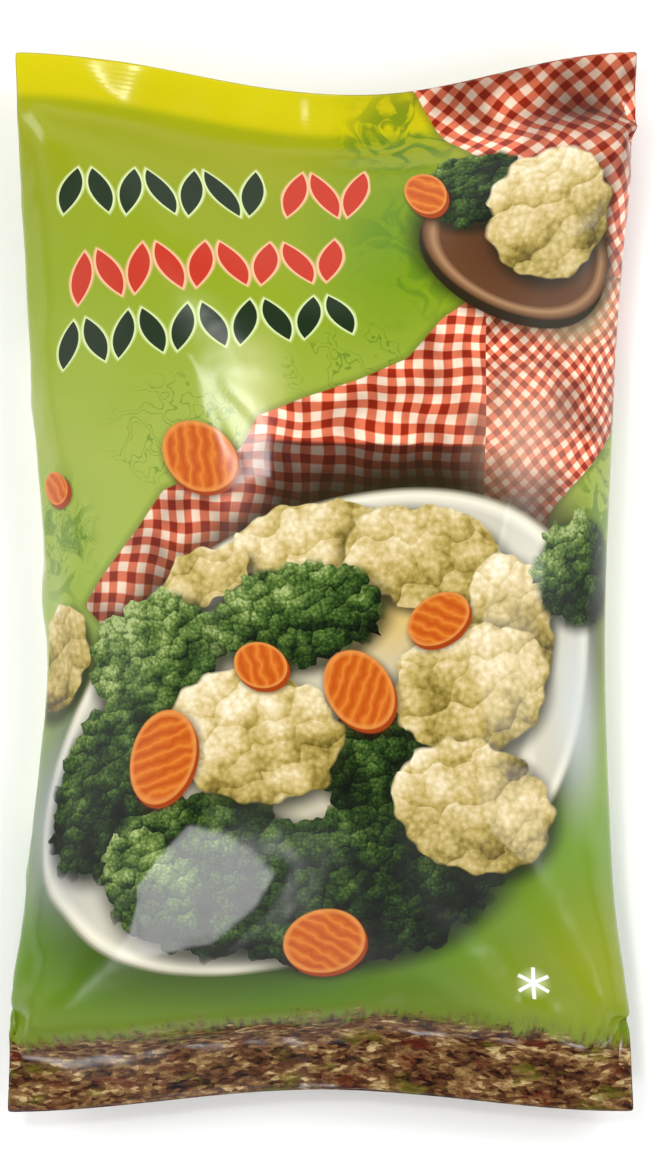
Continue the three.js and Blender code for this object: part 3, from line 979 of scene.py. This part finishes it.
def bumps(bump_size, bud_size, shares, snap):
    """The tone of a bumpy surface from 0 to 1, and coordinates whose outlines follow its bumps.
    shares says how much the bumps' facing, their edges, the buds and the blotches count."""
    facing_share, edge_share, bud_share, blotch_share = shares
    pull = bump_size * BUMP_WOBBLE
    wobble = node(ink, "TexNoise", {"noise_dimensions": "2D"},
                  {"Vector": flat, "Scale": 1.4 / bump_size, "Detail": 0.0}, out="Color")
    place = node(ink, "VectorMath", {"operation": "MULTIPLY_ADD"},
                 {0: wobble, 1: (pull, pull, 0), 2: flat})
    cell = node(ink, "TexVoronoi", {"voronoi_dimensions": "2D"},
                {"Vector": place, "Scale": 1 / bump_size}, out="Position")
    from_middle = node(ink, "VectorMath", {"operation": "SUBTRACT"}, {0: place, 1: cell})
    facing = node(ink, "VectorMath", {"operation": "DOT_PRODUCT"},
                  {0: from_middle, 1: LIGHT_FROM}, out=1)
    away = node(ink, "VectorMath", {"operation": "LENGTH"}, {0: from_middle}, out=1)
    bud = node(ink, "TexVoronoi", {"voronoi_dimensions": "2D"},
               {"Vector": flat, "Scale": 1 / bud_size})
    blotch = node(ink, "TexNoise", {"noise_dimensions": "2D"},
                  {"Vector": flat, "Scale": 0.45 / bump_size, "Detail": 3.0})
    tone = node(ink, "Math", {"operation": "MULTIPLY_ADD"},
                {0: facing, 1: facing_share / bump_size, 2: 0.4 + 0.4 * edge_share})
    speck = node(ink, "TexNoise", {"noise_dimensions": "2D"},
                 {"Vector": flat, "Scale": 1.2 / bud_size, "Detail": 1.0})
    for value, share in ((away, -edge_share / bump_size), (bud, -bud_share),
                         (blotch, blotch_share), (speck, SPECK_SHARE)):
        tone = node(ink, "Math", {"operation": "MULTIPLY_ADD"}, {0: value, 1: share, 2: tone})
    tone = node(ink, "Math", {"operation": "MULTIPLY"}, {0: tone, 1: TONE_SPAN})
    snapped = node(ink, "Mix", {"data_type": "VECTOR"}, {0: snap, 4: place, 5: cell}, out=1)
    # The noise is about a half on average, so half of the pull is taken back
    back = -bump_size * 0.22
    snapped = node(ink, "VectorMath", {"operation": "MULTIPLY_ADD"},
                   {0: snapped, 1: (1, 1, 0), 2: (back, back, 1)})
    return tone, snapped


KINDS = {
    "broccoli": (*bumps(4.5, 1.2, (0.3, 0.28, 0.3, 1.1), 0.7),
                 [(0.25, "#050a03"), (0.42, "#0e1c07"), (0.54, "#1a2e0c"), (0.66, "#2f4718"),
                  (0.78, "#4b6429"), (0.9, "#6f8443"), (1.0, "#9aa96a")]),
    "cauliflower": (*bumps(10.0, 2.4, (0.2, 0.32, 0.2, 0.95), 0.1),
                    [(0.28, "#4c3f10"), (0.42, "#7d6c2c"), (0.52, "#9b8844"), (0.61, "#b39f5e"),
                     (0.7, "#c5b07a"), (0.82, "#d8c9a0"), (0.97, "#e8dfc8")]),
}


def floret(below, kind, at, size, turn, gain):
    """One head of broccoli or cauliflower over the picture so far, with its shadow."""
    tone, snapped, stops = KINDS[kind]
    distance = distance_in(snapped, at, size, turn)
    under = (at[0] + 1.0, at[1] - 2.0)
    below = cast_shadow(below, distance_in(flat, under, size, turn), "#141a06", 1.2, 0.85)
    # The whole head is shaded from its lit side to its dark side, which is one more dot product
    u, v = printed_at(*at)
    slope = [TONE_SPAN * HEAD_SHADE * towards / max(size) for towards in LIGHT_FROM[:2]]
    lit = node(ink, "VectorMath", {"operation": "DOT_PRODUCT"},
               {0: flat, 1: (*slope, TONE_SPAN * gain - slope[0] * u - slope[1] * v)}, out=1)
    shaded = node(ink, "Math", {"operation": "ADD"}, {0: lit, 1: tone})
    colour = node(ink, "ValToRGB", {"stops": stops}, {0: shaded})
    share = node(ink, "MapRange", inputs={0: distance, 1: 1.02, 2: 0.98})
    return lay_over(below, colour, share)


def carrot(below, at, size, turn):
    """A crinkle-cut slice of carrot: its side, its pale ring and its ridged face."""
    side = distance_in(flat, (at[0] + 0.9, at[1] - 1.3), size, turn)
    below = cast_shadow(below, side, "#2c0f04")
    share = node(ink, "MapRange", inputs={0: side, 1: 1.02, 2: 0.98})
    below = lay_over(below, linear("#93380a"), share)
    distance = distance_in(flat, at, size, turn)
    along, _ = own_axes(wavy, at, (RIDGE_PITCH / 2, 1), turn + 35)
    ridge = node(ink, "Math", {"operation": "PINGPONG"}, {0: along, 1: 1.0})
    face = node(ink, "ValToRGB", {"stops": [(0.0, "#ae4a0e"), (0.6, "#bd5d16"), (1.0, "#cb7628")]},
                {0: ridge})
    ring = node(ink, "MapRange", inputs={0: distance, 1: 0.84, 2: 0.94, 4: 0.7})
    face = lay_over(face, linear("#d08842"), ring)
    share = node(ink, "MapRange", inputs={0: distance, 1: 1.02, 2: 0.98})
    return lay_over(below, face, share)


# %% Lay the vegetables out, from back to front
# Kind, place seen from above, half-sizes, turn in degrees, and how much lighter it is
FLORETS = [
    ("broccoli", (49, 130), (16, 15), 0, -0.15),
    ("cauliflower", (75, 122), (21, 23), 0, 0.0),
    ("cauliflower", (-4, 14), (26, 12), 11, 0.0),
    ("cauliflower", (34, 8), (28, 17), -11, -0.05),
    ("cauliflower", (62, -14), (15, 24), 11, -0.05),
    ("broccoli", (85, 4), (17, 18), 0, -0.06),
    ("cauliflower", (-38, 2), (16, 9), 22, -0.05),
    ("cauliflower", (-86, -26), (12, 20), -22, -0.1),
    ("broccoli", (-55, -25), (25, 20), 33, 0.14),
    ("broccoli", (-8, -11), (29, 17), 11, 0.0),
    ("broccoli", (-72, -68), (18, 30), -11, -0.2),
    ("broccoli", (20, -58), (22, 20), 0, -0.22),
    ("broccoli", (-38, -96), (34, 28), 0, -0.2),
    ("cauliflower", (-22, -50), (29, 22), -11, 0.05),
    ("cauliflower", (49, -34), (27, 22), 11, 0.0),
    ("broccoli", (12, -100), (48, 27), 11, -0.27),
    ("broccoli", (-56, -98), (20, 14), -55, 0.04),
    ("cauliflower", (50, -74), (28, 22), -22, -0.05),
]
# Place, half-length and half-width, and turn
CARROTS = [((-40, 41), (13, 11), -33), ((38, -12), (11, 8), 33), ((-20, -27), (9, 7.5), -22),
           ((12, -35), (14, 11), -55), ((-52, -57), (16, 11), 77), ((1, -118), (13, 11.5), 22),
           ((-88, 31), (6, 5.5), 0), ((34, 128), (6, 9), 22)]

for kind, at, size, turn, gain in FLORETS:
    picture = floret(picture, kind, at, size, turn, gain)
for at, size, turn in CARROTS:
    picture = carrot(picture, at, size, turn)
print("motifs:", len(FLORETS), "florets,", len(CARROTS), "carrot slices")

# %% [markdown]
# ## Soil, leaves and a snowflake
# The bottom strip is soil with a ragged top: noise on the height moves the edge up and down, and
# a fine Voronoi pattern breaks the brown into crumbs. Three rows of plain leaves in dark green
# and red decorate the upper part, and a snowflake says that the food is frozen.

# %% Soil strip
SOIL_TOP = -152.0
SOIL_WAVE = 40.0  # depth of the long wave that lets its top sink 8 mm towards the sides
CRUMB = 1.1
TUFT_HEIGHT = 20.0  # how far the ragged top goes up and down in all
TUFT_MIDDLE = 7.0
streaked = node(ink, "VectorMath", {"operation": "MULTIPLY"}, {0: flat, 1: (0.45, 1, 1)})
crumb = node(ink, "TexVoronoi", {"voronoi_dimensions": "2D"},
             {"Vector": streaked, "Scale": 1 / CRUMB}, out="Color")
crumb_tone = node(ink, "SeparateXYZ", inputs={0: crumb})
clod = node(ink, "TexNoise", {"noise_dimensions": "2D"},
            {"Vector": streaked, "Scale": 0.16, "Detail": 5.0, "Roughness": 0.75})
soil_tone = node(ink, "Math", {"operation": "MULTIPLY_ADD"}, {0: crumb_tone, 1: 0.32, 2: clod})
soil = node(ink, "ValToRGB", {"stops": [(0.4, "#160804"), (0.52, "#371c0d"), (0.66, "#583820"),
                                        (0.8, "#7d5e38"), (0.95, "#b9a274")]}, {0: soil_tone})
moss = node(ink, "TexNoise", {"noise_dimensions": "2D"},
            {"Vector": streaked, "Scale": 0.11, "Detail": 4.0, "Roughness": 0.7})
for low, high, code in ((0.56, 0.66, "#5d5f12"), (0.42, 0.34, "#5c1a0c")):
    share = node(ink, "MapRange", inputs={0: moss, 1: low, 2: high, 4: 0.5})
    soil = lay_over(soil, linear(code), share)
grassy = node(ink, "VectorMath", {"operation": "MULTIPLY"}, {0: flat, 1: (1, 0.3, 1)})
tuft = node(ink, "TexNoise", {"noise_dimensions": "2D"},
            {"Vector": grassy, "Scale": 0.35, "Detail": 4.0, "Roughness": 0.7})
# The wave has its crest on the middle of the front and of the back
turn = node(ink, "Math", {"operation": "MULTIPLY"}, {0: flat_x, 1: math.tau / BACK_OFFSET})
sink = node(ink, "Math", {"operation": "COSINE"}, {0: turn})
ragged_y = node(ink, "Math", {"operation": "MULTIPLY_ADD"}, {0: sink, 1: -SOIL_WAVE, 2: flat_y})
ragged_y = node(ink, "Math", {"operation": "MULTIPLY_ADD"}, {0: tuft, 1: TUFT_HEIGHT, 2: ragged_y})
over_soil = node(ink, "Math", {"operation": "SUBTRACT"},
                 {0: ragged_y, 1: SOIL_TOP + TUFT_MIDDLE - SOIL_WAVE})
grass_share = node(ink, "MapRange", inputs={0: over_soil, 1: 11.0, 2: 3.0, 4: 0.75})
picture = lay_over(picture, linear("#66701a"), grass_share)
soil_share = node(ink, "MapRange", inputs={0: over_soil, 1: 6.0, 2: 0.0})
picture = lay_over(picture, soil, soil_share)

# %% Rows of leaves
LEAF_LENGTH = 15.0
LEAF_SHARE = 0.74  # width of a leaf as a share of the pitch
LEAF_LEAN = 0.35  # how far a leaf leans sideways for each millimetre up


def leaf_row(below, start, end, count, colour, halo):
    """A row of leaves between two places of the bag. They lean left and right in turn, and have
    a pale halo round them. Film that gathers is printed larger, so that it looks even."""
    run = printed_at(*end) - printed_at(*start)
    turn = math.degrees(math.atan2(run[1], run[0]))
    pitch = float(np.hypot(*run)) / count
    x, y = (start[0] + end[0]) / 2, (start[1] + end[1]) / 2
    rise = printed_at(x, y + LEAF_LENGTH / 2) - printed_at(x, y - LEAF_LENGTH / 2)
    leaf_length = float(np.hypot(*rise))
    step, height = own_axes(flat, start, (pitch, leaf_length / 2), turn)
    number = node(ink, "Math", {"operation": "FLOOR"}, {0: step})
    side_to_side = node(ink, "Math", {"operation": "PINGPONG"}, {0: number, 1: 1.0})
    lean_by = LEAF_LEAN * leaf_length / (pitch * LEAF_SHARE)
    lean = node(ink, "Math", {"operation": "MULTIPLY_ADD"},
                {0: side_to_side, 1: 2 * lean_by, 2: -lean_by})
    part = node(ink, "Math", {"operation": "FRACT"}, {0: step})
    across = node(ink, "Math", {"operation": "MULTIPLY_ADD"},
                  {0: part, 1: 2 / LEAF_SHARE, 2: -1 / LEAF_SHARE})
    across = node(ink, "Math", {"operation": "MULTIPLY_ADD"}, {0: lean, 1: height, 2: across})
    across = node(ink, "Math", {"operation": "ABSOLUTE"}, {0: across})
    edge = node(ink, "Math", {"operation": "MULTIPLY_ADD"}, {0: height, 1: height, 2: across})
    inside = node(ink, "Math", {"operation": "COMPARE"}, {0: step, 1: count / 2, 2: count / 2})
    for reach, shade, softness in ((1.35, halo, 0.3), (1.0, colour, 0.06)):
        share = node(ink, "MapRange", inputs={0: edge, 1: reach, 2: reach - softness})
        share = node(ink, "Math", {"operation": "MULTIPLY"}, {0: share, 1: inside})
        below = lay_over(below, linear(shade), share)
    return below


# Colours of a leaf and its halo
DARK = ("#16280f", "#c9d69a")
RED = ("#b3301a", "#e8b08a")
# Start and end of each part of a row, its number of leaves and their colours
ROWS = [((-88, 129), (-68, 129), 2, DARK), ((-68, 129), (-48, 128.5), 2, DARK),
        ((-48, 128.5), (-28, 128), 2, DARK), ((-28, 128), (-18, 128), 1, DARK),
        ((-14, 128), (16, 128), 3, RED), ((-84, 99), (8, 106), 9, RED),
        ((-88, 77), (11, 88), 10, DARK)]
for start, end, count, colours in ROWS:
    picture = leaf_row(picture, start, end, count, *colours)

# %% Snowflake
SNOWFLAKE_AT = (70, -133)
SNOWFLAKE_RADIUS = 6.0
SNOWFLAKE_SIZE = (SNOWFLAKE_RADIUS, SNOWFLAKE_RADIUS)
right, up = own_axes(flat, SNOWFLAKE_AT, SNOWFLAKE_SIZE, 0)
distance = distance_in(flat, SNOWFLAKE_AT, SNOWFLAKE_SIZE, 0)
angle = node(ink, "Math", {"operation": "ARCTAN2"}, {0: up, 1: right})
arm = node(ink, "Math", {"operation": "PINGPONG"}, {0: angle, 1: math.pi / 6})
arm = node(ink, "Math", {"operation": "SUBTRACT"}, {0: math.pi / 6, 1: arm})
off_arm = node(ink, "Math", {"operation": "MULTIPLY"}, {0: arm, 1: distance})
arm_share = node(ink, "MapRange", inputs={0: off_arm, 1: 0.13, 2: 0.08})
in_reach = node(ink, "MapRange", inputs={0: distance, 1: 1.0, 2: 0.95})
flake_share = node(ink, "Math", {"operation": "MULTIPLY"}, {0: arm_share, 1: in_reach})
picture = glow(picture, "#c9d9a0", SNOWFLAKE_AT, (7, 7), 0.8)
picture = lay_over(picture, linear("#f3f7ea"), flake_share)

# %% [markdown]
# ## The back panel
# The ground, the yellow band and the soil depend only on the height along the bag, so they run
# round to the back by themselves. Over them lie two pale panels, one on each side of the fin,
# with bare ruled lines where a real pack has its tables.

# %% Pale panels with ruled lines on the back
PANEL_AT = 54.0  # from the fin to the middle of a panel
PANEL_HALF = (40.0, 82.0)
PANEL_CORNER = 5.0
RULE_PITCH = 9.0
off_fin = node(ink, "Math", {"operation": "SUBTRACT"}, {0: flat_x, 1: BACK_OFFSET})
off_fin = node(ink, "Math", {"operation": "ABSOLUTE"}, {0: off_fin})
off_panel = node(ink, "Math", {"operation": "SUBTRACT"}, {0: off_fin, 1: PANEL_AT})
off_panel = node(ink, "CombineXYZ", inputs={0: off_panel, 1: flat_y})
off_panel = node(ink, "VectorMath", {"operation": "ABSOLUTE"}, {0: off_panel})
corner_at = (PANEL_HALF[0] - PANEL_CORNER, PANEL_HALF[1] - PANEL_CORNER, 0)
past_corner = node(ink, "VectorMath", {"operation": "SUBTRACT"}, {0: off_panel, 1: corner_at})
past_corner = node(ink, "VectorMath", {"operation": "MAXIMUM"}, {0: past_corner, 1: (0, 0, 0)})
past_corner = node(ink, "VectorMath", {"operation": "LENGTH"}, {0: past_corner}, out=1)
panel_share = node(ink, "MapRange", inputs={0: past_corner, 1: PANEL_CORNER + 0.2,
                                            2: PANEL_CORNER - 0.2, 4: 0.85})
picture = lay_over(picture, linear("#d9deb0"), panel_share)
rule = node(ink, "Math", {"operation": "PINGPONG"}, {0: flat_y, 1: RULE_PITCH / 2})
rule = node(ink, "Math", {"operation": "LESS_THAN"}, {0: rule, 1: 0.2})
in_panel = node(ink, "Math", {"operation": "LESS_THAN"}, {0: past_corner, 1: 0.5})
rule = node(ink, "Math", {"operation": "MULTIPLY"}, {0: rule, 1: in_panel})
picture = lay_over(picture, linear("#5c7a22"), rule)

# %% [markdown]
# ## The film's finish
# Printed polyethylene is a clear skin over the ink, so it has a satin gloss over every colour.
# Real film is never quite smooth: a low, wide crinkle breaks the edges of each reflection, and the
# jaws that weld the ends leave fine ribs across the bands. Both are far too shallow to model, so
# they are bump, with heights in millimetres.

# %% Finish the film's shader
CRINKLE_HEIGHT = 0.22
CRINKLE_PITCH = 15.0
RIB_HEIGHT = 0.012
RIB_PITCH = 1.6
crinkle = node(ink, "TexNoise", {"noise_dimensions": "2D"},
               {"Vector": flat, "Scale": 1 / CRINKLE_PITCH, "Detail": 2.0, "Roughness": 0.4})
rib = node(ink, "Math", {"operation": "PINGPONG"}, {0: flat_y, 1: RIB_PITCH / 2})
from_end = node(ink, "Math", {"operation": "ABSOLUTE"}, {0: flat_y})
rib_share = node(ink, "MapRange", inputs={0: from_end, 1: FLAT_LENGTH / 2 - SEAL_BAND,
                                          2: FLAT_LENGTH / 2 - SEAL_BAND + 1,
                                          4: RIB_HEIGHT / RIB_PITCH * 2})
ribs = node(ink, "Math", {"operation": "MULTIPLY"}, {0: rib, 1: rib_share})
relief = node(ink, "Math", {"operation": "MULTIPLY_ADD"}, {0: crinkle, 1: CRINKLE_HEIGHT, 2: ribs})
film_bump = node(ink, "Bump", inputs={"Height": relief, "Distance": MM})
ink.links.new(film_bump, film_shader.inputs["Normal"])
ink.links.new(picture, film_shader.inputs["Base Color"])
film_shader.inputs["Roughness"].default_value = 0.2
film_shader.inputs["Specular IOR Level"].default_value = 0.35
for piece in (film, fin_seam):
    piece.data.materials.append(film_material)

# %% The stage
bpy.ops.mesh.primitive_plane_add(size=6)
floor = bpy.context.object
floor.name = "floor"
floor_material = bpy.data.materials.new("matt_white_paint")
floor_material.use_nodes = True
floor_shader = floor_material.node_tree.nodes["Principled BSDF"]
floor_shader.inputs["Base Color"].default_value = linear("#f6f6f5")
floor_shader.inputs["Roughness"].default_value = 0.7
floor.data.materials.append(floor_material)

# %% Camera
PHOTO_SIZE = (667, 1169)
MM_PER_PIXEL = 0.3323
CAMERA_HEIGHT = 1.6
AIM = (3.7 * MM, -0.8 * MM)
SCALE_HEIGHT = 0.02  # the scale holds at this height above the table
SENSOR = 36
scene = bpy.context.scene
lens_camera = bpy.data.cameras.new("camera")
camera = bpy.data.objects.new("camera", lens_camera)
scene.collection.objects.link(camera)
camera.location = (*AIM, CAMERA_HEIGHT)
lens_camera.sensor_width = SENSOR
seen_height = PHOTO_SIZE[1] * MM_PER_PIXEL * MM
lens_camera.lens = SENSOR * (CAMERA_HEIGHT - SCALE_HEIGHT) / seen_height
scene.camera = camera

# %% [markdown]
# ## Light
# White walls and a dark ceiling: a level face of the film mirrors little, so the print keeps its
# full colour, and a tilted one mirrors a veil. Two broad lights model the bag. A taut facet works
# as a small mirror, so a softbox stands exactly where each facet mirrors it towards the camera.

# %% Lights
scene.view_settings.view_transform = "Standard"
WALL_LIGHT = 1.2
FOOT_LIGHT = 0.4
CEILING_LIGHT = 0.12
BAG_MIDDLE = (0, 0, 0.03)
BOX_DISTANCE = 1.4
# Name, size and power of the softbox for each facet
BOXES = [("low box", (0.34, 0.3), 4.4), ("upper box", (0.18, 0.2), 3.6),
         ("right box", (0.2, 0.2), 1.0), ("crease box", (0.24, 0.34), 1.7)]
world = bpy.data.worlds.new("studio")
scene.world = world
world.use_nodes = True
studio = world.node_tree
studio.nodes["Background"].inputs["Color"].default_value = (1, 1, 1, 1)
upward = node(studio, "SeparateXYZ", inputs={0: node(studio, "TexCoord")}, out=2)
wall = node(studio, "MapRange", {"interpolation_type": "SMOOTHSTEP"},
            {0: upward, 1: 0.0, 2: 0.4, 3: FOOT_LIGHT, 4: WALL_LIGHT})
ceiling = node(studio, "MapRange", {"interpolation_type": "SMOOTHSTEP"},
               {0: upward, 1: 0.55, 2: 0.95, 3: WALL_LIGHT, 4: CEILING_LIGHT})
studio_light = node(studio, "Math", {"operation": "MINIMUM"}, {0: wall, 1: ceiling})
studio.links.new(studio_light, studio.nodes["Background"].inputs["Strength"])


def soft_light(name, place, size, power, mirrored=True):
    """A rectangular softbox that faces the middle of the bag. A light that isn't mirrored stands
    for one behind a polarising filter."""
    light = bpy.data.lights.new(name, "AREA")
    light.shape = "RECTANGLE"
    light.size, light.size_y = size
    light.energy = power
    holder = bpy.data.objects.new(name, light)
    scene.collection.objects.link(holder)
    holder.location = place
    holder.visible_glossy = mirrored
    towards = Vector(BAG_MIDDLE) - Vector(place)
    holder.rotation_euler = towards.to_track_quat("-Z", "Y").to_euler()


def mirrored_place(middle, normal, distance):
    """Where a light stands that a facet mirrors towards the camera."""
    to_camera = (camera.location - middle).normalized()
    return middle + distance * (2 * normal.dot(to_camera) * normal - to_camera)


soft_light("right key", (1.6, 1.3, 2.0), (1.2, 1.2), 25, mirrored=False)
soft_light("left key", (-1.8, 1.8, 1.2), (1.4, 1.2), 26)
for (name, size, power), (middle, normal) in zip(BOXES, facets):
    soft_light(name, mirrored_place(middle, normal, BOX_DISTANCE), size, power)
